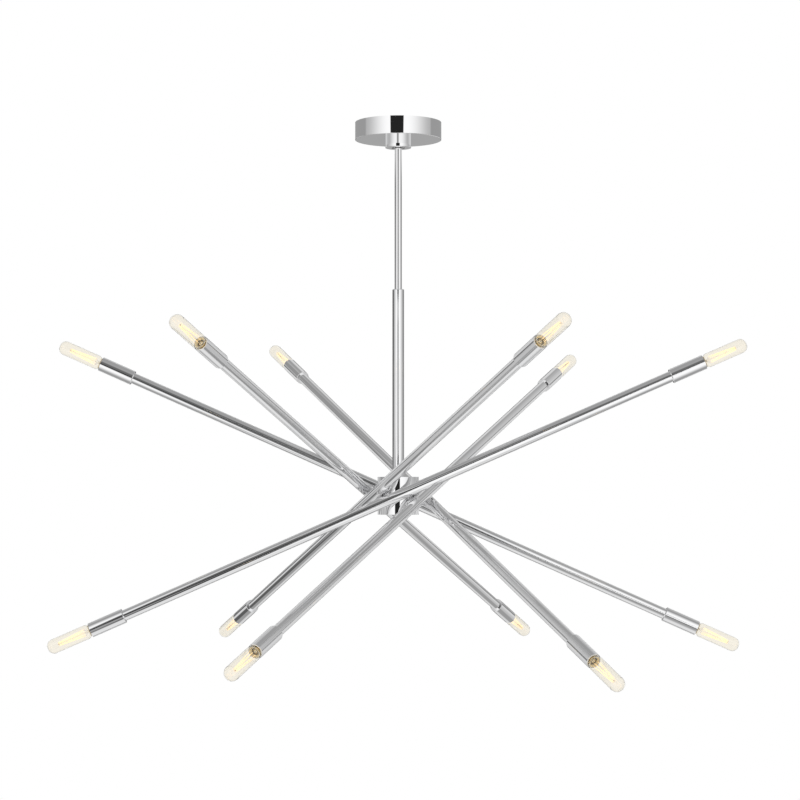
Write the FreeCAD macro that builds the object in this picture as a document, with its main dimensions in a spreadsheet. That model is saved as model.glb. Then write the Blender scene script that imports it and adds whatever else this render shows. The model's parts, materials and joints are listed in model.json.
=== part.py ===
import FreeCAD, Part

# Chandelier with six straight tubes, twelve tubular bulbs and a ball swivel at the ceiling.
#
# Frame: millimetres, +Z up, origin in the ceiling plane at the centre of the mounting strap.
# The fixture hangs in -Z. Arm 1 faces -Y and the arms follow anticlockwise seen from above.
# Every tube rises to the right when it is seen from outside the fixture.

import math
import os
import re

import Sketcher

# directions: up, down, from an arm's tube towards the hub, and along the tube
UP = (0, 0, 1)
DOWN = (0, 0, -1)
INWARD = (0, 1, 0)
ALONG = (1, 0, 0)

TILTS = ("tilt_one", "tilt_two", "tilt_three", "tilt_four", "tilt_five", "tilt_six")
ARMS = len(TILTS)

SIZES = {
    # overall
    "ceiling_to_hub": 658.0,
    # fits: thread on thread, shaft in bore, sliding spherical faces, pieces laid against each other
    "thread_gap": 0.08,
    "slide_gap": 0.3,
    "seat_gap": 0.2,
    # mounting strap across the outlet box
    "strap_length": 114.0,
    "strap_width": 20.0,
    "strap_thick": 2.0,
    "strap_corner": 3.0,
    "slot_spacing": 79.375,
    "slot_length": 13.9,
    "slot_half_width": 2.2,
    "ground_place": 21.0,
    "ground_thread_r": 2.0,
    "ground_head_r": 4.2,
    "ground_head_height": 3.0,
    "ground_reach": 5.0,
    "ground_slot": 0.9,
    # threaded lamp pipe and its hexagon nuts
    "pipe_r": 4.75,
    "pipe_bore_r": 3.2,
    "pipe_proud": 8.0,
    "nut_flats": 14.0,
    "nut_height": 3.5,
    # canopy and the collar that holds it up
    "canopy_r": 76.0,
    "canopy_depth": 31.0,
    "canopy_wall": 1.2,
    "canopy_edge": 0.8,
    "collar_r": 22.8,
    "collar_height": 14.0,
    "collar_floor": 2.0,
    "collar_mouth_r": 11.75,
    "collar_edge": 0.6,
    # ball swivel
    "ball_r": 14.0,
    "ball_cut_above": 7.0,
    "ball_cut_below": 3.0,
    "liner_wall": 1.3,
    "liner_above": 3.0,
    "liner_mouth_r": 10.8,
    "housing_wall": 2.1,
    "housing_lip": 1.9,
    "seat_depth": 10.1,
    "neck_room": 2.0,
    "plug_spigot": 3.2,
    "plug_flange": 3.0,
    "neck_proud": 0.5,
    # stem rods and the sleeve over the lower one
    "rod_r": 6.35,
    "rod_web": 2.0,
    "first_rod_shows": 152.4,
    "coupling_length": 30.0,
    "sleeve_r": 10.25,
    "sleeve_wall": 1.0,
    "sleeve_length": 330.0,
    "sleeve_cap_height": 5.0,
    "sleeve_cap_spigot": 6.0,
    "sleeve_cap_bevel": 1.2,
    # hub drum
    "hub_r": 36.0,
    "hub_wall": 2.0,
    "hub_height": 66.0,
    "cover_thick": 3.0,
    "cover_edge": 0.6,
    "cover_spigot": 4.0,
    "cover_spigot_wall": 2.0,
    "bracket_span": 36.0,
    "bracket_width": 16.0,
    "bracket_thick": 2.0,
    "stem_pipe_above": 12.0,
    "stem_pipe_below": 2.0,
    "cap_screw_r": 2.5,
    "cap_screw_length": 12.0,
    "cap_head_r": 7.0,
    "cap_head_height": 2.5,
    # arms: tilt of each tube above the horizontal, as its friction pivot was left, in degrees
    "tilt_one": 23.6,
    "tilt_two": 24.3,
    "tilt_three": 26.4,
    "tilt_four": 23.9,
    "tilt_five": 24.3,
    "tilt_six": 24.2,
    # arms: tube, pivot and end fittings
    "pivot_space": 6.4,
    "tube_r": 9.5,
    "tube_wall": 1.0,
    "tube_half": 516.0,
    "insert_length": 24.0,
    "insert_bore_r": 4.0,
    "spacer_r": 7.0,
    "washer_r": 6.5,
    "washer_thick": 1.2,
    "pivot_nut_flats": 12.0,
    "pivot_nut_height": 4.0,
    "stud_proud": 2.0,
    "end_plug_length": 12.0,
    "end_pipe_reach": 10.0,
    # arms: cup, lamp socket, screw base and bulb
    "cup_r": 12.7,
    "cup_wall": 1.0,
    "cup_back": 1.5,
    "cup_length": 62.8,
    "cup_edge": 0.8,
    "lip_edge": 0.3,
    "socket_space": 0.5,
    "socket_recess": 5.2,
    "socket_depth": 21.0,
    "socket_web": 3.0,
    "base_r": 5.95,
    "base_wall": 0.47,
    "base_skirt": 0.6,
    "base_floor": 2.0,
    "base_tip_r": 2.3,
    "base_tip_height": 1.3,
    "bulb_r": 12.5,
    "bulb_length": 79.6,
    "bulb_stand_off": 0.8,
    "bulb_step": 0.1,
    "bulb_tip_flat": 2.0,
    "glass_wall": 0.7,
    "glass_neck_depth": 16.0,
}

# lengths that follow from the sheet
DERIVED = {
    "seat_r": "ball_r + liner_wall + 2 * slide_gap",
    "housing_r": "seat_r + housing_wall",
    "liner_in_r": "ball_r + slide_gap",
    "liner_out_r": "ball_r + slide_gap + liner_wall",
    "housing_bottom": "collar_floor + seat_gap - canopy_depth - collar_height",
    "ball_z": "housing_bottom + housing_lip + seat_depth",
    "housing_mouth_r": "sqrt(seat_r ^ 2 - seat_depth ^ 2)",
    "ball_above": "ball_r - ball_cut_above",
    "ball_below": "ball_r - ball_cut_below",
    "neck_top": "ball_z + ball_above + nut_height + neck_proud",
    "plug_bottom": "neck_top + neck_room",
    "shoulder_z": "ball_z - ball_below - slide_gap",
    "rod_joint_z": "0 - canopy_depth - collar_height - first_rod_shows",
    "thread_bore_r": "pipe_r + thread_gap",
    "hub_z": "0 - ceiling_to_hub",
    "hub_top": "hub_height / 2 - ceiling_to_hub",
    "hub_bottom": "0 - ceiling_to_hub - hub_height / 2",
    "hub_in_r": "hub_r - hub_wall",
    "sleeve_in_r": "sleeve_r - sleeve_wall",
    "sleeve_top": "hub_top + sleeve_length - sleeve_cap_height",
    "bracket_top": "hub_top - cover_thick",
    "bracket_bottom": "hub_bottom + cover_thick",
    "arm_out": "hub_r + pivot_space + tube_r",
    "plug_r": "tube_r - tube_wall - thread_gap",
    "spacer_end": "arm_out - hub_r - slide_gap",
    "washer_start": "arm_out - sqrt(hub_in_r ^ 2 - washer_r ^ 2) + slide_gap",
    "nut_start": "washer_start + washer_thick",
    "stud_end": "nut_start + pivot_nut_height + stud_proud",
    "cup_in": "tube_half + cup_back",
    "cup_face": "tube_half + cup_length",
    "socket_face": "cup_face - socket_recess",
    "socket_floor": "socket_face - socket_depth",
    "socket_r": "cup_r - cup_wall - socket_space",
    "socket_cavity_r": "base_r + slide_gap",
    "base_bottom": "socket_floor + base_tip_height + seat_gap",
    "base_top": "socket_face + base_skirt",
    "bulb_back": "cup_face + bulb_stand_off",
    "bulb_tip": "cup_face + bulb_length",
    "glass_neck_r": "base_r - base_wall - thread_gap",
    "bulb_shoulder": "bulb_r - glass_neck_r - bulb_step",
    "bulb_tip_curve": "bulb_r - bulb_tip_flat",
}

SIZE_NAME = re.compile(r"[a-z]+(?:_[a-z]+)+")

doc = FreeCAD.newDocument("chandelier")
sheet = doc.addObject("Spreadsheet::Sheet", "sizes")
sub_parts = []


def fill_sheet():
    """Writes every driving size to the sheet with its alias."""
    for row, (alias, number) in enumerate(SIZES.items(), start=1):
        sheet.set(f"A{row}", alias)
        sheet.set(f"B{row}", str(number))
        sheet.setAlias(f"B{row}", alias)
    doc.recompute()


def formula(text):
    """Turns a length written with sheet and derived names into a FreeCAD expression."""

    def swap(match):
        word = match.group(0)
        if word in DERIVED:
            return f"({formula(DERIVED[word])})"
        return f"sizes.{word}"

    return SIZE_NAME.sub(swap, str(text))


def value(text):
    """The number that a length written with names stands for now."""
    return float(sheet.evalExpression(formula(text)))


def bind(thing, **lengths):
    """Binds properties to the sheet; two underscores in a name stand for a dot."""
    for name, text in lengths.items():
        thing.setExpression(name.replace("__", "."), formula(text))


def keep(thing, label):
    """Marks an object as a sub-part of the chandelier under its own name."""
    thing.Label = label
    sub_parts.append(thing)
    return thing


# ---------------------------------------------------------------- sketches and bodies


def origin_of(body, role):
    """One of the body's own origin planes or axes."""
    return next(item for item in body.Origin.OriginFeatures if item.Role == role)


def new_sketch(body, role):
    """A sketch on one of the body's own origin planes."""
    sketch = body.newObject("Sketcher::SketchObject", body.Name + "_sketch")
    sketch.AttachmentSupport = [(origin_of(body, role), "")]
    sketch.MapMode = "FlatFace"
    return sketch


def arc_through(start, end, radius):
    """The shorter arc from start to end; a positive radius turns anticlockwise."""
    middle = (start + end) * 0.5
    half = (end - start).Length / 2
    left = FreeCAD.Vector(start.y - end.y, end.x - start.x, 0).normalize()
    rise = math.sqrt(max(radius * radius - half * half, 0.0))
    side = math.copysign(1.0, radius)
    centre = middle + left * (side * rise)
    crown = centre - left * (side * abs(radius))
    return Part.Arc(start, crown, end)


def hold(sketch, kind, geometry, point, text):
    """Holds one coordinate of a point at a length from the sheet."""
    index = sketch.addConstraint(Sketcher.Constraint(kind, -1, 1, geometry, point, value(text)))
    sketch.setExpression(f"Constraints[{index}]", formula(text))


def ends_of(sketch, edge, start):
    """Point numbers of an edge's start and end; the sketch stores every arc anticlockwise."""
    forwards = sketch.getPoint(edge, 1).distanceToPoint(start) < 1e-6
    return (1, 2) if forwards else (2, 1)


def add_loop(sketch, corners):
    """A closed loop of lines. A corner with a third length is reached by an arc of that radius."""
    places = [FreeCAD.Vector(value(corner[0]), value(corner[1]), 0) for corner in corners]
    edges = []
    for step, start in enumerate(places):
        after = (step + 1) % len(places)
        shape = Part.LineSegment(start, places[after])
        if len(corners[after]) > 2:
            shape = arc_through(start, places[after], value(corners[after][2]))
        edge = sketch.addGeometry(shape, False)
        edges.append((edge, *ends_of(sketch, edge, start)))
    for step, (edge, start, end) in enumerate(edges):
        after = (step + 1) % len(edges)
        next_edge, next_start, _ = edges[after]
        sketch.addConstraint(Sketcher.Constraint("Coincident", edge, end, next_edge, next_start))
        hold(sketch, "DistanceX", edge, start, corners[step][0])
        hold(sketch, "DistanceY", edge, start, corners[step][1])
        if len(corners[after]) > 2:
            radius = corners[after][2].lstrip("-")
            index = sketch.addConstraint(Sketcher.Constraint("Radius", edge, value(radius)))
            sketch.setExpression(f"Constraints[{index}]", formula(radius))


def add_circle(sketch, across, up, radius):
    """A circle held at a place and a radius from the sheet."""
    centre = FreeCAD.Vector(value(across), value(up), 0)
    circle = sketch.addGeometry(Part.Circle(centre, FreeCAD.Vector(0, 0, 1), value(radius)), False)
    hold(sketch, "DistanceX", circle, 3, across)
    hold(sketch, "DistanceY", circle, 3, up)
    index = sketch.addConstraint(Sketcher.Constraint("Radius", circle, value(radius)))
    sketch.setExpression(f"Constraints[{index}]", formula(radius))


def turned(name, corners):
    """A body of revolution about Z from a half outline of (radius, height) corners."""
    body = doc.addObject("PartDesign::Body", name)
    sketch = new_sketch(body, "XZ_Plane")
    add_loop(sketch, corners)
    turn = body.newObject("PartDesign::Revolution", name + "_turn")
    turn.Profile = (sketch, [""])
    turn.ReferenceAxis = (sketch, ["V_Axis"])
    turn.Angle = 360
    doc.recompute()
    return body


def tube(name, bottom, top, outer, inner):
    """A plain turned tube between two heights."""
    return turned(name, [(inner, bottom), (outer, bottom), (outer, top), (inner, top)])


# ---------------------------------------------------------------- primitives and booleans


def cylinder(name, radius, height, base=("0", "0", "0"), direction=UP):
    """A cylinder from a base point along a direction."""
    solid = doc.addObject("Part::Cylinder", name)
    bind(solid, Radius=radius, Height=height)
    stand(solid, base, direction)
    return solid


def hexagon(name, flats, height, base=("0", "0", "0"), direction=UP):
    """A hexagonal prism given across its flats."""
    solid = doc.addObject("Part::Prism", name)
    solid.Polygon = 6
    bind(solid, Circumradius=f"{flats} / sqrt(3)", Height=height)
    stand(solid, base, direction)
    return solid


def block(name, length, width, height, base):
    """A box from its lowest corner."""
    solid = doc.addObject("Part::Box", name)
    bind(solid, Length=length, Width=width, Height=height)
    stand(solid, base, UP)
    return solid


def stand(thing, base, direction):
    """Turns an object's Z to a direction and binds its base point to the sheet."""
    turn = FreeCAD.Rotation(FreeCAD.Vector(*UP), FreeCAD.Vector(*direction))
    thing.Placement = FreeCAD.Placement(FreeCAD.Vector(0, 0, 0), turn)
    bind(thing, Placement__Base__x=base[0], Placement__Base__y=base[1], Placement__Base__z=base[2])


def fuse(name, *solids):
    """Several solids made one."""
    joined = doc.addObject("Part::MultiFuse", name)
    joined.Shapes = list(solids)
    return joined


def cut(name, base, tool):
    """Cuts a tool from a base and stops if the tool missed it."""
    made = doc.addObject("Part::Cut", name)
    made.Base = base
    made.Tool = tool
    doc.recompute()
    if made.Shape.Volume >= base.Shape.Volume - 1e-6:
        raise RuntimeError(f"{name} cuts nothing")
    return made


def mirrored(name, source):
    """The same piece on the other side of the YZ plane."""
    made = doc.addObject("Part::Mirroring", name)
    made.Source = source
    made.Base = (0, 0, 0)
    made.Normal = (1, 0, 0)
    return made


def group(name, pieces):
    """Separate solids that share one sub-part."""
    made = doc.addObject("Part::Compound", name)
    made.Links = list(pieces)
    return made


def nut(name, flats, height, base, direction=UP):
    """A hexagon nut for the threaded lamp pipe."""
    outside = hexagon(name + "_outside", flats, height, base, direction)
    bore = cylinder(name + "_bore", "thread_bore_r", height, base, direction)
    return cut(name, outside, bore)


# ---------------------------------------------------------------- ceiling: strap, pipe, canopy, collar


def slot_tool(name, centre):
    """The shape of one screw slot: two round ends and the straight between them."""
    reach = "(slot_length / 2 - slot_half_width)"
    low, high = f"{centre} - {reach}", f"{centre} + {reach}"
    below = "0 - strap_thick"
    straight = block(
        name + "_straight", f"2 * {reach}", "2 * slot_half_width", "strap_thick",
        (low, "0 - slot_half_width", below),
    )
    ends = [
        cylinder(f"{name}_end_{side}", "slot_half_width", "strap_thick", (place, "0", below))
        for side, place in enumerate((low, high))
    ]
    return [straight, *ends]


def make_strap():
    """Flat steel bar: two slots for the outlet box, a bore for the lamp pipe, a ground screw hole."""
    below = "0 - strap_thick"
    bar = block(
        "strap_bar", "strap_length", "strap_width", "strap_thick",
        ("0 - strap_length / 2", "0 - strap_width / 2", below),
    )
    doc.recompute()
    rounded = doc.addObject("Part::Fillet", "strap_rounded")
    rounded.Base = bar
    upright = [
        number for number, edge in enumerate(bar.Shape.Edges, start=1)
        if abs(edge.tangentAt(edge.FirstParameter).z) > 0.9
    ]
    rounded.Edges = [(number, value("strap_corner"), value("strap_corner")) for number in upright]
    holes = [
        cylinder("strap_bore", "thread_bore_r", "strap_thick", ("0", "0", below)),
        cylinder("ground_bore", "ground_thread_r + thread_gap", "strap_thick", ("ground_place", "0", below)),
    ]
    for side, centre in enumerate(("0 - slot_spacing / 2", "slot_spacing / 2")):
        holes += slot_tool(f"slot_{side}", centre)
    keep(cut("strap", rounded, fuse("strap_holes", *holes)), "mounting_strap")


def make_ground_screw():
    """Slotted hexagon screw for the ground wire, threaded up through the strap."""
    head_low = "0 - strap_thick - ground_head_height"
    place = ("ground_place", "0", head_low)
    head = hexagon("ground_head", "2 * ground_head_r", "ground_head_height", place)
    shank = cylinder(
        "ground_shank", "ground_thread_r", "ground_head_height + strap_thick + ground_reach", place
    )
    driver = block(
        "ground_driver", "3 * ground_head_r", "ground_slot", "ground_head_height / 2",
        ("ground_place - 1.5 * ground_head_r", "0 - ground_slot / 2", head_low),
    )
    keep(cut("ground", fuse("ground_blank", head, shank), driver), "ground_screw")


def make_lamp_pipe():
    """Threaded pipe through the strap, with a nut each side of it."""
    keep(tube("pipe", "plug_bottom", "pipe_proud", "pipe_r", "pipe_bore_r"), "canopy_pipe")
    above = nut("nut_above", "nut_flats", "nut_height", ("0", "0", "0"))
    below = nut("nut_below", "nut_flats", "nut_height", ("0", "0", "0 - strap_thick - nut_height"))
    keep(group("pipe_nuts", [above, below]), "canopy_pipe_nuts")


def make_canopy():
    """Spun cup whose open rim meets the ceiling."""
    hole = "housing_r + slide_gap"
    inside = "canopy_r - canopy_wall"
    floor = "0 - canopy_depth"
    body = turned(
        "canopy_cup",
        [
            (hole, floor),
            ("canopy_r - canopy_edge", floor),
            ("canopy_r", "canopy_edge - canopy_depth", "canopy_edge"),
            ("canopy_r", "0"),
            (inside, "0"),
            (inside, "canopy_wall - canopy_depth"),
            (hole, "canopy_wall - canopy_depth"),
        ],
    )
    keep(body, "canopy")


def make_collar():
    """Threaded collar that clamps the canopy; the rod leaves through its mouth."""
    top = "0 - canopy_depth"
    bottom = "0 - canopy_depth - collar_height"
    floor = "collar_floor - canopy_depth - collar_height"
    body = turned(
        "collar_cup",
        [
            ("collar_mouth_r", bottom),
            ("collar_r - collar_edge", bottom),
            ("collar_r", f"{bottom} + collar_edge", "collar_edge"),
            ("collar_r", top),
            ("housing_r + thread_gap", top),
            ("housing_r + thread_gap", floor),
            ("collar_mouth_r", floor),
        ],
    )
    keep(body, "canopy_collar")


# ---------------------------------------------------------------- ball swivel


def make_housing():
    """Cup with a spherical seat at its mouth; the ball is dropped in from above."""
    body = turned(
        "housing",
        [
            ("housing_mouth_r", "housing_bottom"),
            ("housing_r", "housing_bottom"),
            ("housing_r", "plug_bottom + plug_spigot"),
            ("seat_r", "plug_bottom + plug_spigot"),
            ("seat_r", "ball_z"),
            ("housing_mouth_r", "housing_bottom + housing_lip", "-seat_r"),
        ],
    )
    keep(body, "swivel_housing")


def make_plug():
    """Plug that closes the housing and screws on the lamp pipe."""
    shelf = "plug_bottom + plug_spigot"
    body = turned(
        "plug",
        [
            ("thread_bore_r", "plug_bottom"),
            ("seat_r - thread_gap", "plug_bottom"),
            ("seat_r - thread_gap", shelf),
            ("housing_r", shelf),
            ("housing_r", f"{shelf} + plug_flange"),
            ("thread_bore_r", f"{shelf} + plug_flange"),
        ],
    )
    keep(body, "swivel_plug")


def make_liner():
    """Nylon shell between ball and housing: it tips one way, the ball tips the other way in it."""
    body = turned(
        "liner",
        [
            ("liner_mouth_r", "ball_z - sqrt(liner_out_r ^ 2 - liner_mouth_r ^ 2)"),
            ("sqrt(liner_out_r ^ 2 - liner_above ^ 2)", "ball_z + liner_above", "liner_out_r"),
            ("sqrt(liner_in_r ^ 2 - liner_above ^ 2)", "ball_z + liner_above"),
            ("liner_mouth_r", "ball_z - sqrt(liner_in_r ^ 2 - liner_mouth_r ^ 2)", "-liner_in_r"),
        ],
    )
    keep(body, "swivel_liner")


def make_ball():
    """Ball cut flat above and below, bored for the neck of the first rod."""
    body = turned(
        "ball",
        [
            ("thread_bore_r", "ball_z - ball_below"),
            ("sqrt(ball_r ^ 2 - ball_below ^ 2)", "ball_z - ball_below"),
            ("sqrt(ball_r ^ 2 - ball_above ^ 2)", "ball_z + ball_above", "ball_r"),
            ("thread_bore_r", "ball_z + ball_above"),
        ],
    )
    keep(body, "swivel_ball")


def make_swivel_nut():
    """Nut on the rod's neck: it carries the fixture on top of the ball."""
    keep(nut("swivel_carrier", "nut_flats", "nut_height", ("0", "0", "ball_z + ball_above")), "swivel_nut")


# ---------------------------------------------------------------- stem


def make_rods():
    """Two rods end to end, bored for the threaded coupling that joins them."""
    web = "shoulder_z - rod_web"
    first = turned(
        "rod_one",
        [
            ("thread_bore_r", "rod_joint_z"),
            ("rod_r", "rod_joint_z"),
            ("rod_r", "shoulder_z"),
            ("pipe_r", "shoulder_z"),
            ("pipe_r", "neck_top"),
            ("pipe_bore_r", "neck_top"),
            ("pipe_bore_r", web),
            ("thread_bore_r", web),
        ],
    )
    keep(first, "upper_rod")
    keep(tube("rod_two", "hub_top", "rod_joint_z", "rod_r", "thread_bore_r"), "lower_rod")
    low, high = "rod_joint_z - coupling_length / 2", "rod_joint_z + coupling_length / 2"
    keep(tube("coupling", low, high, "pipe_r", "pipe_bore_r"), "rod_coupling")


def make_sleeve():
    """Bright tube over the lower rod, closed above by a bevelled cap."""
    keep(tube("sleeve", "hub_top", "sleeve_top", "sleeve_r", "sleeve_in_r"), "stem_sleeve")
    bore = "rod_r + thread_gap"
    body = turned(
        "sleeve_lid",
        [
            (bore, "sleeve_top - sleeve_cap_spigot"),
            ("sleeve_in_r - thread_gap", "sleeve_top - sleeve_cap_spigot"),
            ("sleeve_in_r - thread_gap", "sleeve_top"),
            ("sleeve_r", "sleeve_top"),
            ("sleeve_r", "sleeve_top + sleeve_cap_height - sleeve_cap_bevel"),
            ("sleeve_r - sleeve_cap_bevel", "sleeve_top + sleeve_cap_height"),
            (bore, "sleeve_top + sleeve_cap_height"),
        ],
    )
    keep(body, "sleeve_cap")


def make_stem_pipe():
    """Threaded pipe that joins the lower rod to the hub, with its nut inside the hub."""
    nut_low = "bracket_top - bracket_thick - nut_height"
    pipe = tube(
        "stem_pipe_tube", f"{nut_low} - stem_pipe_below", "hub_top + stem_pipe_above", "pipe_r", "pipe_bore_r"
    )
    keep(pipe, "stem_pipe")
    keep(nut("stem_nut", "nut_flats", "nut_height", ("0", "0", nut_low)), "stem_locknut")


# ---------------------------------------------------------------- hub


def make_hub_shell():
    """Drum wall with one pivot hole for each arm."""
    low, high = "0 - hub_height / 2 + cover_thick", "hub_height / 2 - cover_thick"
    body = tube("drum", low, high, "hub_r", "hub_in_r")
    solid_before = body.Shape.Volume
    sketch = new_sketch(body, "XZ_Plane")
    add_circle(sketch, "0", "0", "thread_bore_r")
    bore = body.newObject("PartDesign::Pocket", "drum_bore")
    bore.Profile = (sketch, [""])
    bind(bore, Length="hub_r * 2")
    doc.recompute()
    one_hole = solid_before - body.Shape.Volume
    ring = body.newObject("PartDesign::PolarPattern", "drum_bores")
    ring.Originals = [bore]
    ring.Axis = (origin_of(body, "Z_Axis"), [""])
    ring.Angle = 360
    ring.Occurrences = ARMS
    body.Tip = ring
    bind(body, Placement__Base__z="hub_z")
    doc.recompute()
    if one_hole <= 0 or solid_before - body.Shape.Volume < (ARMS - 0.01) * one_hole:
        raise RuntimeError("the drum has too few pivot holes")
    keep(body, "hub_shell")


def cover(name, bore, seat, direction):
    """Drum lid on its seat, facing up or down, with a spigot that centres it in the wall."""
    spigot_r = "hub_in_r - thread_gap"
    spigot_in_r = f"{spigot_r} - cover_spigot_wall"
    body = turned(
        name,
        [
            (bore, "cover_thick"),
            ("hub_r - cover_edge", "cover_thick"),
            ("hub_r", "cover_thick - cover_edge", "-cover_edge"),
            ("hub_r", "0"),
            (spigot_r, "0"),
            (spigot_r, "0 - cover_spigot"),
            (spigot_in_r, "0 - cover_spigot"),
            (spigot_in_r, "0"),
            (bore, "0"),
        ],
    )
    stand(body, ("0", "0", seat), direction)
    return body


def make_covers():
    """The two lids of the drum: the stem passes the upper one, a screw holds the lower one."""
    top = cover("lid_top", "thread_bore_r", "bracket_top", UP)
    keep(top, "hub_top_cover")
    bottom = cover("lid_bottom", "cap_screw_r + thread_gap", "bracket_bottom", DOWN)
    keep(bottom, "hub_bottom_cover")


def make_bracket():
    """Steel frame inside the drum that ties the two covers together."""
    corner = ("0 - bracket_span / 2", "0 - bracket_width / 2", "bracket_bottom")
    outer = block(
        "bracket_outer", "bracket_span", "bracket_width", "bracket_top - bracket_bottom", corner
    )
    window = block(
        "bracket_window", "bracket_span - 2 * bracket_thick", "bracket_width",
        "bracket_top - bracket_bottom - 2 * bracket_thick",
        ("bracket_thick - bracket_span / 2", "0 - bracket_width / 2", "bracket_bottom + bracket_thick"),
    )
    pipe_hole = cylinder(
        "bracket_pipe_hole", "thread_bore_r", "bracket_thick", ("0", "0", "bracket_top - bracket_thick")
    )
    screw_hole = cylinder(
        "bracket_screw_hole", "cap_screw_r + thread_gap", "bracket_thick", ("0", "0", "bracket_bottom")
    )
    keep(cut("bracket", outer, fuse("bracket_voids", window, pipe_hole, screw_hole)), "hub_bracket")


def make_cap_screw():
    """Low domed screw that holds the bottom cover."""
    low = "hub_bottom - cap_head_height"
    dome = "(cap_head_r ^ 2 + cap_head_height ^ 2) / (2 * cap_head_height)"
    body = turned(
        "cap",
        [
            ("0", low),
            ("cap_head_r", "hub_bottom", dome),
            ("cap_screw_r", "hub_bottom"),
            ("cap_screw_r", "hub_bottom + cap_screw_length"),
            ("0", "hub_bottom + cap_screw_length"),
        ],
    )
    keep(body, "hub_cap_screw")


# ---------------------------------------------------------------- one arm, drawn along X at the origin


def lay_along(body):
    """Turns a body that was turned about Z so that it lies along X."""
    body.Placement = FreeCAD.Placement(FreeCAD.Vector(0, 0, 0), FreeCAD.Rotation(0, 90, 0))
    return body


def both_ends(name, body):
    """A turned piece at the high end of the tube and its twin at the low end."""
    lay_along(body)
    return [body, mirrored(name, body)]


def arm_tube():
    """Straight tube with one hole, on the side that faces the hub."""
    start = ("0 - tube_half", "0", "0")
    outside = cylinder("arm_outside", "tube_r", "2 * tube_half", start, ALONG)
    inside = cylinder("arm_inside", "tube_r - tube_wall", "2 * tube_half", start, ALONG)
    hole = cylinder("arm_pivot_hole", "thread_bore_r", "tube_r + tube_wall", ("0", "0", "0"), INWARD)
    return [cut("arm_pipe", outside, fuse("arm_voids", inside, hole))]


def arm_fittings():
    """Pivot stud on its insert, spacer, washer and nut, and the threaded plug in each tube end."""
    middle = ("0 - insert_length / 2", "0", "0")
    insert = cylinder("insert", "plug_r", "insert_length", middle, ALONG)
    stud = cylinder("stud", "pipe_r", "stud_end", ("0", "0", "0"), INWARD)
    wire_way = cylinder("insert_way", "insert_bore_r", "insert_length", middle, ALONG)
    stud_way = cylinder("stud_way", "pipe_bore_r", "stud_end", ("0", "0", "0"), INWARD)
    pivot = cut("pivot", fuse("pivot_blank", insert, stud), fuse("pivot_ways", wire_way, stud_way))
    blank = cylinder("spacer_blank", "spacer_r", "spacer_end", ("0", "0", "0"), INWARD)
    spacer_bore = cylinder("spacer_bore", "thread_bore_r", "spacer_end", ("0", "0", "0"), INWARD)
    saddle = cylinder(
        "spacer_saddle", "tube_r + thread_gap", "4 * spacer_r", ("0 - 2 * spacer_r", "0", "0"), ALONG
    )
    spacer = cut("spacer", blank, fuse("spacer_voids", spacer_bore, saddle))
    washer_base = ("0", "washer_start", "0")
    washer = cut(
        "washer",
        cylinder("washer_disc", "washer_r", "washer_thick", washer_base, INWARD),
        cylinder("washer_hole", "thread_bore_r", "washer_thick", washer_base, INWARD),
    )
    lock = nut("pivot_nut", "pivot_nut_flats", "pivot_nut_height", ("0", "nut_start", "0"), INWARD)
    end_pipe = turned(
        "end_plug",
        [
            ("pipe_bore_r", "tube_half - end_plug_length"),
            ("plug_r", "tube_half - end_plug_length"),
            ("plug_r", "tube_half"),
            ("pipe_r", "tube_half"),
            ("pipe_r", "cup_in + end_pipe_reach"),
            ("pipe_bore_r", "cup_in + end_pipe_reach"),
        ],
    )
    return [pivot, spacer, washer, lock, *both_ends("end_plug_twin", end_pipe)]


def arm_cups():
    """Bright socket covers: a back wall on the tube's end, with both outer edges rounded."""
    inside = "cup_r - cup_wall"
    cup = turned(
        "cup",
        [
            ("thread_bore_r", "tube_half"),
            ("cup_r - cup_edge", "tube_half"),
            ("cup_r", "tube_half + cup_edge", "cup_edge"),
            ("cup_r", "cup_face - lip_edge"),
            ("cup_r - lip_edge", "cup_face", "lip_edge"),
            (inside, "cup_face"),
            (inside, "cup_in"),
            ("thread_bore_r", "cup_in"),
        ],
    )
    return both_ends("cup_twin", cup)


def arm_sockets():
    """Lamp sockets screwed on the end plugs, open towards the bulb."""
    end = "cup_in + end_pipe_reach + seat_gap"
    socket = turned(
        "socket",
        [
            ("thread_bore_r", "cup_in"),
            ("socket_r", "cup_in"),
            ("socket_r", "socket_face"),
            ("socket_cavity_r", "socket_face"),
            ("socket_cavity_r", "socket_floor"),
            ("0", "socket_floor"),
            ("0", "socket_floor - socket_web"),
            ("base_tip_r", "socket_floor - socket_web"),
            ("base_tip_r", end),
            ("thread_bore_r", end),
        ],
    )
    return both_ends("socket_twin", socket)


def arm_bases():
    """Brass screw bases of the bulbs, with the centre contact."""
    inside = "glass_neck_r + thread_gap"
    tip = "base_bottom - base_tip_height"
    base = turned(
        "screw_base",
        [
            ("0", tip),
            ("base_tip_r", tip),
            ("base_tip_r", "base_bottom"),
            ("base_r", "base_bottom"),
            ("base_r", "base_top"),
            (inside, "base_top"),
            (inside, "base_bottom + base_floor"),
            ("0", "base_bottom + base_floor"),
        ],
    )
    return both_ends("screw_base_twin", base)


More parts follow.
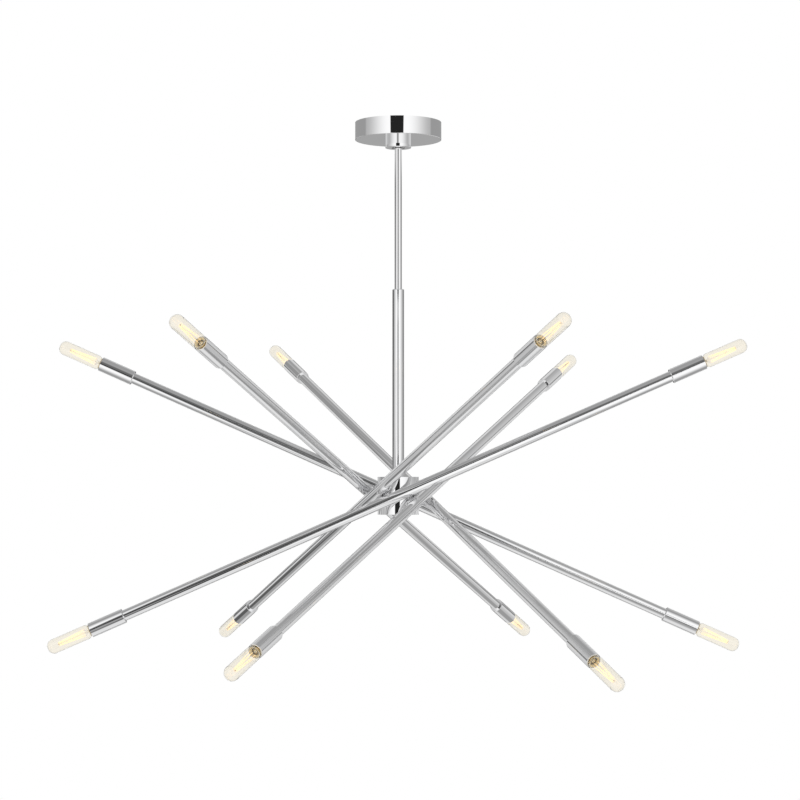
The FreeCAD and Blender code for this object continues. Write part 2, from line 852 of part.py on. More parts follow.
def arm_glass():
    """Tubular glass envelopes, open at the neck inside the base."""
    neck_in = "glass_neck_r - glass_wall"
    body_in = "bulb_r - glass_wall"
    shoulder = "bulb_r - bulb_shoulder"
    curve = "bulb_r - bulb_tip_curve"
    neck_end = "bulb_back - glass_neck_depth"
    glass = turned(
        "glass",
        [
            (neck_in, neck_end),
            ("glass_neck_r", neck_end),
            ("glass_neck_r", "bulb_back"),
            (shoulder, "bulb_back"),
            ("bulb_r", "bulb_back + bulb_shoulder", "bulb_shoulder"),
            ("bulb_r", "bulb_tip - bulb_tip_curve"),
            (curve, "bulb_tip", "bulb_tip_curve"),
            ("0", "bulb_tip"),
            ("0", "bulb_tip - glass_wall"),
            (curve, "bulb_tip - glass_wall"),
            (body_in, "bulb_tip - bulb_tip_curve", "-(bulb_tip_curve - glass_wall)"),
            (body_in, "bulb_back + bulb_shoulder"),
            (shoulder, "bulb_back + glass_wall", "-(bulb_shoulder - glass_wall)"),
            (neck_in, "bulb_back + glass_wall"),
        ],
    )
    return both_ends("glass_twin", glass)


# ---------------------------------------------------------------- placing the arms


def arm_placement(number, tilt):
    """Where an arm stands, as an expression: turned about the stem, then tilted on its pivot."""
    around = number * 360 / ARMS
    place = f"vector(arm_out * sin({around}); 0 - arm_out * cos({around}); hub_z)"
    return f"placement({place}; rotation({around}; 0 - {tilt}; 0))"


def make_arms():
    """Six arms from one set of pieces, each piece in a sub-part of its own."""
    pieces = {
        "tube": arm_tube(),
        "fittings": arm_fittings(),
        "cups": arm_cups(),
        "sockets": arm_sockets(),
        "bulb_bases": arm_bases(),
        "bulb_glass": arm_glass(),
    }
    for number, tilt in enumerate(TILTS):
        for piece, solids in pieces.items():
            label = f"arm_{number + 1}_{piece}"
            placed = group(label + "_group", solids)
            bind(placed, Placement=arm_placement(number, tilt))
            keep(placed, label)


# ---------------------------------------------------------------- checks and export


def check_document():
    """Stops on any failed object or unsound shape before anything is written."""
    doc.recompute()
    for item in doc.Objects:
        if "Invalid" in item.State or "Error" in item.State:
            raise RuntimeError(f"{item.Name} failed: {item.State}")
    for item in sub_parts:
        shape = item.Shape
        if shape.isNull() or not shape.isValid() or not shape.Solids or shape.Volume <= 0:
            raise RuntimeError(f"{item.Label} has no sound solid")


def export():
    """Writes each sub-part to its own file."""
    os.makedirs("parts", exist_ok=True)
    for item in sub_parts:
        item.Shape.exportStep(f"parts/{item.Label}.step")


def main():
    fill_sheet()
    make_strap()
    make_ground_screw()
    make_lamp_pipe()
    make_canopy()
    make_collar()
    make_housing()
    make_plug()
    make_liner()
    make_ball()
    make_swivel_nut()
    make_rods()
    make_sleeve()
    make_stem_pipe()
    make_hub_shell()
    make_covers()
    make_bracket()
    make_cap_screw()
    make_arms()
    check_document()
    export()
    print(len(sub_parts), "sub-parts written")


main()
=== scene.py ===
"""Finishes, bulbs' insides, studio and camera for a hanging light of six pivoting tubes."""

import json
import math

import bmesh
import bpy
from mathutils import Euler, Matrix, Vector


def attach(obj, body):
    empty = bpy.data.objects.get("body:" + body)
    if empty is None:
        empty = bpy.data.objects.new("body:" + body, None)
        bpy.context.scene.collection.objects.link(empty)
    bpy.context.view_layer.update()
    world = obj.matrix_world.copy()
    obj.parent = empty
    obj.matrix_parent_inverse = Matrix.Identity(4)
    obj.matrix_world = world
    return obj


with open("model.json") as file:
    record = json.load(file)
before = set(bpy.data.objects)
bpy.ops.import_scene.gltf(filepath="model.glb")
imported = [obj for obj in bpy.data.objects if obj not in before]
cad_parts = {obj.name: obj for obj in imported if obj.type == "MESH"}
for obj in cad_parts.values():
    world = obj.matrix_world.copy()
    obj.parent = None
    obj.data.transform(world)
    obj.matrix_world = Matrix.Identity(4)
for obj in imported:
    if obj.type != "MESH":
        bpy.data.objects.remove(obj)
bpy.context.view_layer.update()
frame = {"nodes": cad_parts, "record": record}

MM = 0.001
DEGREES = math.degrees(1)
FULL_TURN = 2 * math.pi
ARMS = 6
ENDS = (("right", 1), ("left", -1))


class Link:
    """A node's output socket. Sums on it add Math nodes."""

    def __init__(self, nodes, socket):
        self.nodes = nodes
        self.socket = socket

    def __add__(self, other):
        return self.nodes.maths("ADD", self, other)

    def __radd__(self, other):
        return self.nodes.maths("ADD", other, self)

    def __sub__(self, other):
        return self.nodes.maths("SUBTRACT", self, other)

    def __rsub__(self, other):
        return self.nodes.maths("SUBTRACT", other, self)

    def __mul__(self, other):
        return self.nodes.maths("MULTIPLY", self, other)

    def __rmul__(self, other):
        return self.nodes.maths("MULTIPLY", other, self)

    def __neg__(self):
        return self.nodes.maths("MULTIPLY", self, -1)

    def __abs__(self):
        return self.nodes.maths("ABSOLUTE", self)


class Nodes:
    """The node tree of one material or of the world."""

    # The Mix node names its sockets alike for every kind of value, so colours go by number.
    MIX_FACTOR = 0
    MIX_COLOURS = (6, 7)
    MIX_COLOUR_OUT = 2

    def __init__(self, owner):
        owner.use_nodes = True
        self.tree = owner.node_tree
        self.tree.nodes.clear()

    def add(self, kind, settings, values, output=0):
        """Adds a node, sets it up, fills its sockets with values or links, returns one output."""
        node = self.tree.nodes.new("ShaderNode" + kind)
        for name, setting in settings.items():
            setattr(node, name, setting)
        for name, value in values.items():
            if isinstance(value, Link):
                self.tree.links.new(value.socket, node.inputs[name])
            else:
                node.inputs[name].default_value = value
        return Link(self, node.outputs[output]) if node.outputs else None

    def maths(self, operation, *terms):
        """A Math node on links and numbers."""
        return self.add("Math", {"operation": operation}, dict(enumerate(terms)))

    def step(self, value, start, end):
        """0 before start, 1 after end, and a smooth rise between them."""
        return self.add(
            "MapRange",
            {"interpolation_type": "SMOOTHSTEP"},
            {"Value": value, "From Min": start, "From Max": end},
        )

    def between(self, value, low, high, soft):
        """1 from low to high, with soft edges that run outwards."""
        return self.step(value, low - soft, low) * (1 - self.step(value, high, high + soft))

    def blend(self, factor, first, second):
        """A colour between two, by factor."""
        colours = dict(zip(self.MIX_COLOURS, (first, second)))
        values = {self.MIX_FACTOR: factor, **colours}
        return self.add("Mix", {"data_type": "RGBA"}, values, output=self.MIX_COLOUR_OUT)

    def noise(self, place, scale, detail=3.0):
        """Soft noise from 0 to 1 over a place."""
        return self.add("TexNoise", {}, {"Vector": place, "Scale": scale, "Detail": detail})

    def place(self, stretch=(1.0, 1.0, 1.0)):
        """The point on the piece, stretched along its axes."""
        point = self.add("TexCoord", {}, {}, output="Object")
        return self.add("Mapping", {}, {"Vector": point, "Scale": stretch})

    def bump(self, height, strength, distance):
        """A normal pushed by height."""
        values = {"Height": height, "Strength": strength, "Distance": distance}
        return self.add("Bump", {}, values)

    def ray_is(self, kind):
        """1 on rays of one kind, such as Camera, Glossy or Transmission."""
        return self.add("LightPath", {}, {}, output=f"Is {kind} Ray")

    def surface(self, **values):
        """The Principled shader, with its sockets' spaces written as underscores."""
        sockets = {name.replace("_", " "): value for name, value in values.items()}
        shader = self.add("BsdfPrincipled", {}, sockets)
        self.add("OutputMaterial", {}, {"Surface": shader})


def new_material(name):
    """An empty material and its nodes."""
    material = bpy.data.materials.new(name)
    return material, Nodes(material)


def rgb(red, green, blue):
    """A colour with its alpha."""
    return (red, green, blue, 1.0)


def polished_chrome():
    """Mirror chrome plate: a hair of haze where it has been wiped, and drawn tube's ripple."""
    material, nodes = new_material("polished_chrome")
    wiped = nodes.step(nodes.noise(nodes.place(), scale=14.0, detail=4.0), 0.45, 0.75)
    ripple = nodes.noise(nodes.place(), scale=30.0, detail=1.0)
    nodes.surface(
        Base_Color=nodes.blend(wiped, rgb(0.86, 0.86, 0.865), rgb(0.835, 0.84, 0.85)),
        Metallic=1.0,
        Roughness=0.015 + wiped * 0.02,
        Normal=nodes.bump(ripple, strength=0.02, distance=0.5 * MM),
    )
    return material


def zinc_plate():
    """Zinc-plated hardware: pale spangle with a slightly uneven shine."""
    material, nodes = new_material("zinc_plate")
    crystal = {"Vector": nodes.place(), "Scale": 260.0}
    crystals = nodes.add("TexVoronoi", {}, crystal, output="Color")
    shade = nodes.add("RGBToBW", {}, {"Color": crystals})
    grime = nodes.noise(nodes.place(), scale=60.0)
    tone = shade * 0.5 + grime * 0.5
    nodes.surface(
        Base_Color=nodes.blend(tone, rgb(0.55, 0.56, 0.58), rgb(0.72, 0.72, 0.70)),
        Metallic=1.0,
        Roughness=0.26 + tone * 0.16,
        Normal=nodes.bump(grime, strength=0.15, distance=0.3 * MM),
    )
    return material


def green_dyed_steel():
    """Green-dyed screw steel, worn paler on its high spots."""
    material, nodes = new_material("green_dyed_steel")
    wear = nodes.step(nodes.noise(nodes.place(), scale=400.0, detail=5.0), 0.5, 0.75)
    nodes.surface(
        Base_Color=nodes.blend(wear, rgb(0.06, 0.32, 0.13), rgb(0.22, 0.50, 0.28)),
        Metallic=0.6,
        Roughness=0.35 + wear * 0.15,
    )
    return material


def moulded_nylon():
    """Milky bearing nylon with a fine moulded skin."""
    material, nodes = new_material("moulded_nylon")
    skin = nodes.noise(nodes.place(), scale=900.0, detail=4.0)
    nodes.surface(
        Base_Color=nodes.blend(skin, rgb(0.80, 0.79, 0.74), rgb(0.86, 0.85, 0.81)),
        Roughness=0.38 + skin * 0.12,
        Normal=nodes.bump(skin, strength=0.2, distance=0.1 * MM),
    )
    return material


def turned_steel():
    """Plain turned steel: fine tool rings round the axis and a soft shine."""
    material, nodes = new_material("turned_steel")
    rings = nodes.noise(nodes.place(stretch=(40.0, 40.0, 2600.0)), scale=1.0, detail=2.0)
    stain = nodes.noise(nodes.place(), scale=45.0)
    nodes.surface(
        Base_Color=nodes.blend(stain, rgb(0.50, 0.50, 0.51), rgb(0.62, 0.62, 0.62)),
        Metallic=1.0,
        Roughness=0.24 + rings * 0.16,
        Normal=nodes.bump(rings, strength=0.12, distance=0.1 * MM),
    )
    return material


def socket_thermoplastic():
    """Cream lamp-holder plastic with a faint grain."""
    material, nodes = new_material("socket_thermoplastic")
    grain = nodes.noise(nodes.place(), scale=700.0, detail=5.0)
    nodes.surface(
        Base_Color=nodes.blend(grain, rgb(0.90, 0.88, 0.82), rgb(0.94, 0.92, 0.87)),
        Roughness=0.42 + grain * 0.12,
        Normal=nodes.bump(grain, strength=0.15, distance=0.1 * MM),
    )
    return material


def screw_brass():
    """Rolled brass of the bulbs' screw shells and collars, a little tarnished."""
    material, nodes = new_material("screw_brass")
    tarnish = nodes.step(nodes.noise(nodes.place(), scale=180.0, detail=5.0), 0.4, 0.8)
    nodes.surface(
        Base_Color=nodes.blend(tarnish, rgb(0.95, 0.80, 0.47), rgb(0.86, 0.69, 0.37)),
        Metallic=1.0,
        Roughness=0.36 + tarnish * 0.16,
    )
    return material


def bulb_glass():
    """Clear warm glass, beige where it is seen edge on."""
    material, nodes = new_material("blown_glass")
    facing = nodes.add("LayerWeight", {}, {"Blend": 0.5}, output="Facing")
    edge = nodes.step(facing, 0.3, 0.85)
    wave = nodes.noise(nodes.place(), scale=38.0, detail=1.0)
    clear = nodes.blend(wave, rgb(0.965, 0.94, 0.885), rgb(0.955, 0.93, 0.87))
    nodes.surface(
        Base_Color=nodes.blend(edge, clear, rgb(0.87, 0.845, 0.78)),
        Roughness=0.0,
        IOR=1.48,
        Transmission_Weight=1.0,
    )
    return material


def lit_filament():
    """Glowing coiled filament, redder and yellower along its length."""
    material, nodes = new_material("lit_filament")
    heat = nodes.noise(nodes.place(), scale=90.0, detail=2.0)
    nodes.surface(
        Base_Color=nodes.blend(heat, rgb(0.9, 0.6, 0.25), rgb(1.0, 0.8, 0.45)),
        Roughness=0.6,
        Emission_Color=nodes.blend(heat, rgb(1.0, 0.66, 0.33), rgb(1.0, 0.76, 0.46)),
        Emission_Strength=1.0,
    )
    material.cycles.emission_sampling = "NONE"
    return material


def support_wire():
    """Dull drawn wire that holds the filament."""
    material, nodes = new_material("support_wire")
    drawn = nodes.noise(nodes.place(), scale=800.0)
    nodes.surface(
        Base_Color=nodes.blend(drawn, rgb(0.50, 0.47, 0.42), rgb(0.64, 0.60, 0.54)),
        Metallic=1.0,
        Roughness=0.4 + drawn * 0.15,
    )
    return material


FINISHES = {
    "chrome": polished_chrome(),
    "zinc": zinc_plate(),
    "green_screw": green_dyed_steel(),
    "nylon": moulded_nylon(),
    "steel": turned_steel(),
    "socket_plastic": socket_thermoplastic(),
    "brass": screw_brass(),
    "bulb_glass": bulb_glass(),
}
FILAMENT = lit_filament()
WIRE = support_wire()


def finish_cad_nodes():
    """Gives every node the finish of its material slot. Glass lets the lamps' light through."""
    for part in frame["record"]["subparts"]:
        node = frame["nodes"][part["node"]]
        for slot in node.material_slots:
            slot.material = FINISHES[part["material_slot"]]
        node.visible_shadow = part["material_slot"] != "bulb_glass"


# One bulb's insides, along its own +X from the mouth of the glass at 0 to the tip. Outlines
# are points of (along, radius) in millimetres.
HOOK_COUNT = 7
BASE_HOOKS_AT = 10.0 * MM
BASE_HOOKS_R = 6.3 * MM
TIP_HOOKS_AT = 59.0 * MM
TIP_HOOKS_R = 3.0 * MM
TIP_HOOK_FOOT_R = 0.2 * MM
TIP_HOOK_RISE = 1.2 * MM
HOOK_OVERLAP = 0.2 * MM
LEAD_FOOT = (2.4 * MM, 1.2 * MM)
LEAD_KNEE = (6.0 * MM, 3.0 * MM)
WIRE_R = 0.12 * MM
COIL_R = 0.27 * MM
COIL_PITCH = 0.8 * MM
COIL_WAIST = 0.72
SKIRT = (
    (-5.2, 5.75), (-1.2, 5.75), (-0.6, 6.2), (-0.15, 7.5), (0.75, 9.4),
    (0.72, 9.75), (0.5, 9.75), (-0.55, 7.6), (-1.1, 6.5), (-1.7, 6.25), (-5.2, 6.25),
)
NECK_DISC = ((-1.3, 1.75), (-1.5, 2.6), (-2.3, 4.3), (-2.7, 4.35), (-2.0, 2.6), (-1.7, 1.75))
SOCKET_RIM = (
    (-5.9, 10.5), (-1.5, 10.3), (-1.2, 10.5), (-1.1, 10.8), (-1.1, 11.1),
    (-1.25, 11.35), (-1.6, 11.45), (-5.9, 11.45),
)
STEM = (
    (-1.9, 1.6), (1.6, 1.5), (3.4, 1.1), (5.0, 0.9),
    (57.0, 0.9), (58.6, 1.3), (59.6, 1.2), (60.2, 0.5),
)
SHARP_EDGE = math.radians(50)


def new_object(name, mesh, material):
    """An object of one material in the scene, smooth-shaded but for its sharp edges."""
    mesh.shade_smooth()
    mesh.set_sharp_from_angle(angle=SHARP_EDGE)
    mesh.materials.append(material)
    thing = bpy.data.objects.new(name, mesh)
    bpy.context.collection.objects.link(thing)
    return thing


def ring_point(along, radius, turn):
    """A point on a ring round the bulb's axis."""
    return Vector((along, radius * math.cos(turn), radius * math.sin(turn)))


def ring_turns(count, offset=0.0):
    """Even angles round a ring, moved on by a share of one step."""
    return [FULL_TURN * (index + offset) / count for index in range(count)]


def join_rings(shape, near, far):
    """A band of faces between two rings of as many points."""
    for side in range(len(near)):
        other = (side + 1) % len(near)
        shape.faces.new((near[side], near[other], far[other], far[side]))


def sweep(shape, path, radii, sides=6):
    """Adds a round tube to shape, along path, with a radius at each point and closed ends."""
    rings = []
    across = None
    for index, point in enumerate(path):
        before = path[max(index - 1, 0)]
        after = path[min(index + 1, len(path) - 1)]
        forward = (after - before).normalized()
        if across is None:
            across = forward.orthogonal().normalized()
        across = (across - forward * across.dot(forward)).normalized()
        up = forward.cross(across)
        ring = []
        for turn in ring_turns(sides):
            offset = across * math.cos(turn) + up * math.sin(turn)
            ring.append(shape.verts.new(point + offset * radii[index]))
        rings.append(ring)
    for near, far in zip(rings, rings[1:]):
        join_rings(shape, near, far)
    shape.faces.new(list(reversed(rings[0])))
    shape.faces.new(rings[-1])


def mesh_of(shape, name):
    """The finished mesh of a bmesh."""
    bmesh.ops.recalc_face_normals(shape, faces=shape.faces)
    mesh = bpy.data.meshes.new(name)
    shape.to_mesh(mesh)
    shape.free()
    return mesh


def add_strand(shape, start, end):
    """One straight run of the coil, with a bead for each turn of its wire."""
    steps = 2 * int((end - start).length / COIL_PITCH)
    path = [start.lerp(end, index / steps) for index in range(steps + 1)]
    radii = [COIL_R * (1.0 if index % 2 else COIL_WAIST) for index in range(steps + 1)]
    sweep(shape, path, radii)


def filament_mesh():
    """One coil that runs up and down between the two rings of hooks, all the way round."""
    shape = bmesh.new()
    low = [ring_point(BASE_HOOKS_AT, BASE_HOOKS_R, turn) for turn in ring_turns(HOOK_COUNT)]
    high = [ring_point(TIP_HOOKS_AT, TIP_HOOKS_R, turn) for turn in ring_turns(HOOK_COUNT, 0.5)]
    for index in range(HOOK_COUNT):
        add_strand(shape, low[index], high[index])
        if index < HOOK_COUNT - 1:
            add_strand(shape, high[index], low[index + 1])
    return mesh_of(shape, "filament")


def hooks_mesh():
    """Lead-in wires and the hooks of both rings."""
    shape = bmesh.new()
    for turn in ring_turns(HOOK_COUNT):
        foot = ring_point(*LEAD_FOOT, turn)
        knee = ring_point(*LEAD_KNEE, turn)
        head = ring_point(BASE_HOOKS_AT - HOOK_OVERLAP, BASE_HOOKS_R, turn)
        sweep(shape, [foot, knee, head], [WIRE_R] * 3)
    for turn in ring_turns(HOOK_COUNT, 0.5):
        foot = ring_point(TIP_HOOKS_AT - TIP_HOOK_RISE, TIP_HOOK_FOOT_R, turn)
        head = ring_point(TIP_HOOKS_AT + HOOK_OVERLAP, TIP_HOOKS_R, turn)
        sweep(shape, [foot, head], [WIRE_R] * 2)
    return mesh_of(shape, "supports")


def stem_mesh():
    """Glass stem: stout in the neck, then a rod up to the button of the tip hooks."""
    shape = bmesh.new()
    path = [Vector((along * MM, 0, 0)) for along, radius in STEM]
    sweep(shape, path, [radius * MM for along, radius in STEM], sides=20)
    return mesh_of(shape, "stem")


def turned_mesh(name, outlines, sides=48):
    """Closed outlines turned round the bulb's axis."""
    shape = bmesh.new()
    for outline in outlines:
        rings = []
        for along, radius in outline:
            points = [ring_point(along * MM, radius * MM, turn) for turn in ring_turns(sides)]
            rings.append([shape.verts.new(point) for point in points])
        for near, far in zip(rings, rings[1:] + rings[:1]):
            join_rings(shape, near, far)
    return mesh_of(shape, name)


# How far each tube rises towards its right-hand end, seen from outside, in degrees.
TILTS = (23.6, 24.3, 26.4, 23.9, 24.3, 24.2)
GLASS_MOUTH_AT = 579.6 * MM


def bulb_seats(arm):
    """Matrices from a bulb's own axes to its place at each end of an arm."""
    joints = {joint["name"]: joint for joint in frame["record"]["behaviour"]["joints"]}
    pivot = joints[f"arm_{arm}_pivot"]
    outward = Vector(pivot["axis"])
    facing = math.atan2(outward.x, -outward.y)
    rise = math.radians(TILTS[arm - 1])
    middle = Matrix.Translation(Vector(pivot["pos_m"]))
    along = middle @ Matrix.Rotation(facing, 4, "Z") @ Matrix.Rotation(-rise, 4, "Y")
    seats = {}
    for end, side in ENDS:
        half_turn = Matrix.Rotation(0 if side > 0 else math.pi, 4, "Z")
        seats[end] = along @ half_turn @ Matrix.Translation(Vector((GLASS_MOUTH_AT, 0, 0)))
    return seats


def fit_bulb_insides():
    """Puts the coil, its hooks, glass stem, brass collar and socket rim at each of 12 bulbs."""
    collar = turned_mesh("collar", (SKIRT, NECK_DISC))
    rim = turned_mesh("rim", (SOCKET_RIM,))
    insides = (
        ("filament", filament_mesh(), FILAMENT, "brass"),
        ("hooks", hooks_mesh(), WIRE, "steel"),
        ("stem", stem_mesh(), FINISHES["bulb_glass"], "bulb_glass"),
        ("collar", collar, FINISHES["brass"], "brass"),
        ("socket_rim", rim, FINISHES["socket_plastic"], "socket_plastic"),
    )
    for arm in range(1, ARMS + 1):
        for end, seat in bulb_seats(arm).items():
            for kind, mesh, material, slot in insides:
                piece = new_object(f"arm_{arm}_{end}_{kind}", mesh.copy(), material)
                piece.data.transform(seat)
                piece.visible_shadow = slot != "bulb_glass"
                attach(piece, f"arm_{arm}")


# The studio that polished metal shows: two tall white screens either side of the camera, a dark
# gap between them, grey side and back walls, a ceiling and a ground. Directions are in degrees:
# a bearing of 0 is towards the camera, positive to its right, and a height of 0 is level.
# These are brightness levels, where 1 is the white that the camera sees.
SCREEN_GLOW = 1.14
SCREEN_SIDE_FALL = 0.55
SCREEN_TOP_FALL = 0.55
SCREEN_FOOT_FALL = 0.26
SIDE_WALL = 0.6
BACK_WALL = 0.76
CORNER_FALL = 0.24
LOW_WALL = 0.37
HIGH_WALL = 0.5
SLOT = 0.33
SLOT_FOOT = 0.12
REAR_PANEL = 0.4
RAIL = 0.36
DADO_LEFT = 0.16
DADO_RIGHT = 0.28
OPENING = 0.02
GAP = 0.09
GAP_ABOVE = 0.06
GAP_TOP = 0.3
LEFT_LINE = 0.2
RIGHT_LINE = 0.06
LINE_FADE = 0.5
VALLEY = 0.38
VALLEY_FOOT = 0.25
CEILING = 0.38
GROUND = 0.87
PLAIN_LIGHT = 0.8

# The gap's middle, half width, and how much that grows for each degree of height above 10;
# then bands of height, from and to, where it is wider on each side by the third number.
GAP_BEARING = -4.5
GAP_HALF_WIDTH = 7.0
GAP_SPREAD = 0.45
GAP_BANDS = ((-0.8, 0.8, 7.0), (1.4, 4.4, 2.5), (5.4, 8.0, 8.0), (8.4, 10.4, 8.0))
LINES_START = (8, 11)


def paint_over(under, level, mask):
    """A level painted over another where the mask is 1."""
    return under * (1 - mask) + level * mask


def paint_walls(nodes, bearing, height):
    """Side and back walls, greyer above and below, with dark slots in the front corners."""
    aside = abs(bearing)
    off_level = abs(height)
    corner = nodes.step(off_level, 12, 26) * nodes.between(aside, 128, 150, 14)
    back = BACK_WALL - corner * CORNER_FALL
    shine = paint_over(SIDE_WALL, back, nodes.step(aside, 112, 119))
    flank = 1 - nodes.step(aside, 158, 176)
    shine = paint_over(shine, LOW_WALL, nodes.step(-height, 30, 44) * flank)
    shine = paint_over(shine, HIGH_WALL, nodes.step(height, 28, 50) * flank)
    left_slot = nodes.between(bearing, -113, -109, 4) * nodes.step(height, -16, 8)
    shine = paint_over(shine, SLOT, left_slot)
    slot_foot = nodes.between(bearing, -117, -112, 4) * nodes.between(height, -48, -20, 8)
    shine = paint_over(shine, SLOT_FOOT, slot_foot)
    right_slot = nodes.between(bearing, 105, 107, 4) * nodes.step(off_level, 14, 28)
    return paint_over(shine, SLOT, right_slot)


def paint_screens(nodes, shine, bearing, height):
    """Both screens as one sheet, brightest in the middle of its width and height."""
    aside = abs(bearing)
    glow = SCREEN_GLOW * (1 - nodes.step(aside, 22, 98) * SCREEN_SIDE_FALL)
    glow = glow * (1 - nodes.step(height, 26, 64) * SCREEN_TOP_FALL)
    glow = glow * (1 - nodes.step(-height, 26, 60) * SCREEN_FOOT_FALL)
    return paint_over(shine, glow, 1 - nodes.step(aside, 92, 100))


def paint_rear_opening(nodes, shine, bearing, height):
    """The dark opening in the back wall, with a grey panel across it below the level."""
    aside = abs(bearing)
    band = nodes.between(height, -14, -5, 3)
    shine = paint_over(shine, REAR_PANEL, nodes.step(aside, 158, 166) * band)
    opening = nodes.step(aside, 165, 168) * (1 - nodes.step(abs(height), 22, 28))
    opening = opening * (1 - nodes.step(aside, 176, 178) * band)
    return paint_over(shine, OPENING, opening)


def paint_rail_and_dado(nodes, shine, bearing, height):
    """A thin rail round the side and back walls, and a darker dado under it."""
    rail = nodes.between(height, 9.3, 10.1, 0.4) * nodes.step(abs(bearing), 92, 100)
    shine = paint_over(shine, RAIL, rail)
    dado = nodes.between(height, 1.0, 8.0, 1.0)
    shine = paint_over(shine, DADO_LEFT, dado * nodes.step(-bearing, 86, 96))
    return paint_over(shine, DADO_RIGHT, dado * nodes.step(bearing, 92, 104))


def paint_low_lines(nodes, shine, bearing, height):
    """Low down, the gap's two edges as dark lines that lean apart, with a grey valley between."""
    drop = -height
    low = nodes.step(drop, *LINES_START)
    left_at = -6.8 - drop * 0.35
    right_at = drop * 0.27 - 0.7
    valley = nodes.step(bearing - left_at, 0, 2) * (1 - nodes.step(bearing - right_at, -2, 0))
    valley_level = VALLEY + nodes.step(drop, 34, 58) * VALLEY_FOOT
    shine = paint_over(shine, valley_level, valley * low)
    fade = nodes.step(drop, 28, 58) * LINE_FADE
    for line_at, level in ((left_at, LEFT_LINE), (right_at, RIGHT_LINE)):
        line = 1 - nodes.step(abs(bearing - line_at), 2, 4)
        shine = paint_over(shine, level + fade, line * low)
    return shine


def paint_gap(nodes, shine, bearing, height):
    """The dark gap between the screens, from just below the level upwards."""
    edge = GAP_HALF_WIDTH + nodes.step(height, 7, 12) * 4.5
    edge = edge + nodes.maths("MAXIMUM", height - 10, 0) * GAP_SPREAD
    for bottom, top, wider in GAP_BANDS:
        edge = edge + nodes.between(height, bottom, top, 0.4) * wider
    middle = GAP_BEARING + nodes.step(height, 4, 12) * 1.5
    gap = 1 - nodes.step(abs(bearing - middle) - edge, -1, 1)
    level = GAP + nodes.step(height, 8, 13) * GAP_ABOVE + nodes.step(height, 30, 58) * GAP_TOP
    dark = nodes.between(height, 5.4, 10.4, 0.5) + nodes.between(height, -0.8, 0.8, 0.3)
    level = paint_over(level, OPENING, dark)
    return paint_over(shine, level, gap * (1 - nodes.step(-height, *LINES_START)))


def studio_walls(nodes, bearing, height):
    """How bright polished metal sees the studio in each direction."""
    shine = paint_walls(nodes, bearing, height)
    for paint in (
        paint_screens, paint_rear_opening, paint_rail_and_dado, paint_low_lines, paint_gap,
    ):
        shine = paint(nodes, shine, bearing, height)
    shine = paint_over(shine, CEILING, nodes.step(height, 52, 62))
    return paint_over(shine, GROUND, 1 - nodes.step(height, -62, -60))


def light_studio():
    """The world: white to the camera and through glass, screens and walls to polished metal."""
    world = bpy.data.worlds.new("studio")
    bpy.context.scene.world = world
    nodes = Nodes(world)
    ray = nodes.add("TexCoord", {}, {}, output="Generated")
    across, away, upward = (
        nodes.add("SeparateXYZ", {}, {"Vector": ray}, output=axis) for axis in "XYZ"
    )
    bearing = nodes.maths("ARCTAN2", across, -away) * DEGREES
    height = nodes.maths("ARCSINE", upward) * DEGREES
    clear = nodes.ray_is("Transmission")
    white = nodes.maths("MAXIMUM", nodes.ray_is("Camera"), clear)
    mirrored = nodes.ray_is("Glossy") * (1 - clear)
    level = paint_over(PLAIN_LIGHT, 1.0, white)
    level = paint_over(level, studio_walls(nodes, bearing, height), mirrored)
    background = nodes.add("Background", {}, {"Color": rgb(1, 1, 1), "Strength": level})
    nodes.add("OutputWorld", {}, {"Surface": background})


FLOOR_HEIGHT = -4.4
FLOOR_R = 9.0
FLOOR_SIDES = 96
FLOOR_LEAST_WHITE = 0.25
FLOOR_FADE = (1.2, 4.5)


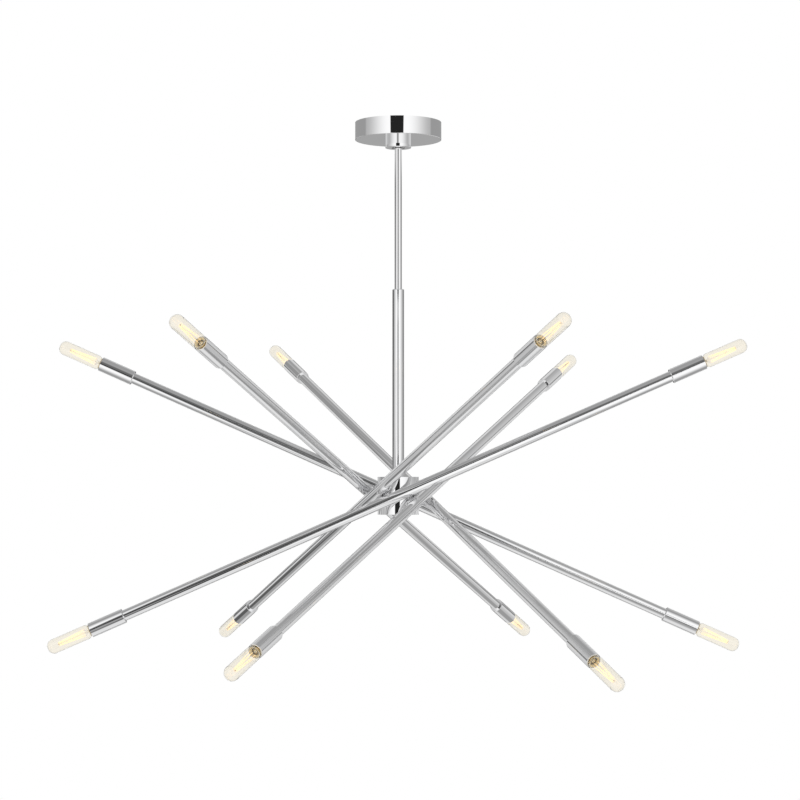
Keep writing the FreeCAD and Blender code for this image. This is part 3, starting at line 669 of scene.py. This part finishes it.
def lay_floor():
    """A wide pale floor, well below, that runs out into white."""
    shape = bmesh.new()
    bmesh.ops.create_circle(shape, cap_ends=True, segments=FLOOR_SIDES, radius=FLOOR_R)
    floor = bpy.data.objects.new("floor", mesh_of(shape, "floor"))
    floor.location.z = FLOOR_HEIGHT
    bpy.context.collection.objects.link(floor)
    material, nodes = new_material("pale_floor")
    grain = nodes.noise(nodes.place(), scale=3.0)
    pale = nodes.blend(grain, rgb(0.84, 0.84, 0.84), rgb(0.86, 0.86, 0.86))
    matt = {"Base Color": pale, "Roughness": 1.0, "Specular IOR Level": 0.0}
    paint = nodes.add("BsdfPrincipled", {}, matt)
    white = nodes.add("Emission", {}, {"Color": rgb(1, 1, 1), "Strength": 1.0})
    distance = nodes.add("VectorMath", {"operation": "LENGTH"}, {0: nodes.place()}, output="Value")
    outwards = nodes.step(distance, *FLOOR_FADE)
    shown = nodes.maths("MAXIMUM", nodes.ray_is("Camera"), nodes.ray_is("Transmission"))
    fade = shown * (FLOOR_LEAST_WHITE + outwards * (1 - FLOOR_LEAST_WHITE))
    both = nodes.add("MixShader", {}, dict(enumerate((fade, paint, white))))
    nodes.add("OutputMaterial", {}, {"Surface": both})
    floor.data.materials.append(material)
    floor.visible_glossy = False


HUB = (0, 0, -0.658)


def add_lamp(name, place, size, power):
    """A soft square lamp aimed at the drum; polished metal sees the screens, not the lamp."""
    lamp = bpy.data.lights.new(name, "AREA")
    lamp.size = size
    lamp.energy = power
    holder = bpy.data.objects.new(name, lamp)
    holder.location = place
    holder.rotation_euler = (Vector(HUB) - Vector(place)).to_track_quat("-Z", "Y").to_euler()
    holder.visible_glossy = False
    holder.visible_camera = False
    holder.visible_transmission = False
    bpy.context.collection.objects.link(holder)


CAMERA_BACK = 3.859
CAMERA_PITCH = 0.0435
CAMERA_YAW = 0.0008
LENS = 99.0
SENSOR = 36.0


def set_camera():
    """Long lens level with the drum, tipped up a little."""
    lens = bpy.data.cameras.new("camera")
    lens.lens = LENS
    lens.sensor_width = SENSOR
    camera = bpy.data.objects.new("camera", lens)
    camera.location = (0, -CAMERA_BACK, HUB[2])
    camera.rotation_euler = Euler((math.pi / 2 + CAMERA_PITCH, 0, -CAMERA_YAW))
    bpy.context.collection.objects.link(camera)
    bpy.context.scene.camera = camera


finish_cad_nodes()
fit_bulb_insides()
light_studio()
lay_floor()
add_lamp("key", place=(-2.6, -3.0, 1.6), size=2.0, power=45.0)
add_lamp("fill", place=(3.0, -2.2, 0.4), size=2.4, power=20.0)
set_camera()
bpy.context.scene.view_settings.view_transform = "Standard"
